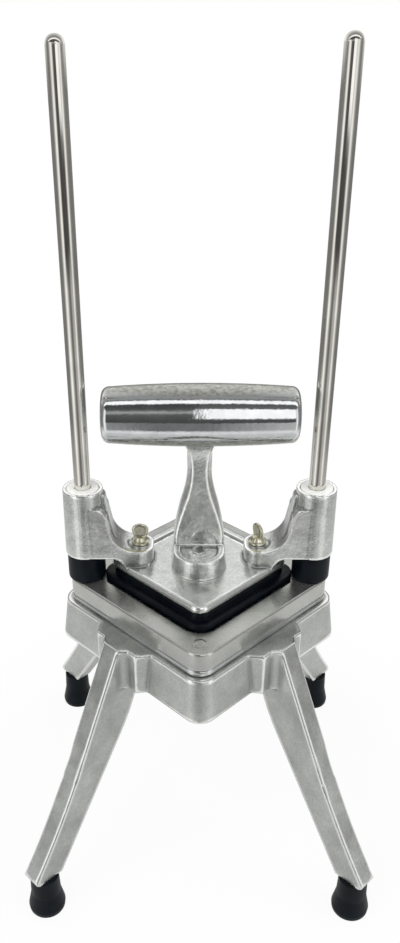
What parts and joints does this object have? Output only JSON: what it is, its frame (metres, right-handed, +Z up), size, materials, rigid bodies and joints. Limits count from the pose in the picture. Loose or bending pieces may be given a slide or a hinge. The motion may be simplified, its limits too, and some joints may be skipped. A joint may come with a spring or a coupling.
{
  "type": "french fry cutter",
  "caption": "Push-down potato cutter: a T-handled pusher head slides on guide rods over a square blade grid on a cast base with splayed legs.",
  "frame": {"origin": "on the worktop, under the middle of the blade grid", "axes": "+Z up along the guide rods, +X to the user's right along the T-handle, -Y towards the user"},
  "size_m": [0.2232, 0.2232, 0.508],
  "materials": {
    "cast_aluminium": "fine sand-cast skin, satin",
    "polished_casting": "polished casting",
    "bright_plate": "bright rolled plate",
    "blade_steel": "ground stainless",
    "polished_rod": "polished stainless",
    "fastener_steel": "plain stainless",
    "nickel": "nickel plate",
    "brass": "turned",
    "black_rubber": "moulded",
    "black_plastic": "moulded",
    "white_plastic": "turned, satin"
  },
  "bodies": {
    "base": {"base_casting": "cast_aluminium", "cartridge_plate": "bright_plate", "blade_frame": "cast_aluminium", "blades_across": "blade_steel", "blades_along": "blade_steel", "guide_rod_left": "polished_rod", "guide_rod_right": "polished_rod", "bumper_left": "black_rubber", "bumper_right": "black_rubber", "foot_front_left": "black_rubber", "foot_front_right": "black_rubber", "foot_rear_left": "black_rubber", "foot_rear_right": "black_rubber", "rod_washers": "fastener_steel", "rod_nuts": "fastener_steel", "frame_washers": "fastener_steel", "frame_screws": "fastener_steel", "foot_screws": "fastener_steel"},
    "push_head": {"head_casting": "cast_aluminium", "t_handle": "polished_casting", "push_block": "black_plastic", "bushing_upper_left": "white_plastic", "bushing_upper_right": "white_plastic", "bushing_lower_left": "white_plastic", "bushing_lower_right": "white_plastic", "thumbscrew_washers": "fastener_steel", "block_inserts": "brass", "handle_screw": "fastener_steel", "handle_nut": "fastener_steel", "handle_bolt": "fastener_steel"},
    "thumbscrew_left": {"thumbscrew_left": "nickel"},
    "thumbscrew_right": {"thumbscrew_right": "nickel"}
  },
  "joints": [
    {"name": "head_slide", "type": "slide", "parent": "base", "child": "push_head", "axis": [0, 0, 1], "range_m": [0, 0.235]},
    {"name": "thumbscrew_left_turn", "type": "hinge", "parent": "push_head", "child": "thumbscrew_left", "pos_m": [-0.0372, 0, 0.22], "axis": [0, 0, 1], "continuous": true},
    {"name": "thumbscrew_right_turn", "type": "hinge", "parent": "push_head", "child": "thumbscrew_right", "pos_m": [0.0372, 0, 0.22], "axis": [0, 0, 1], "continuous": true}
  ]
}
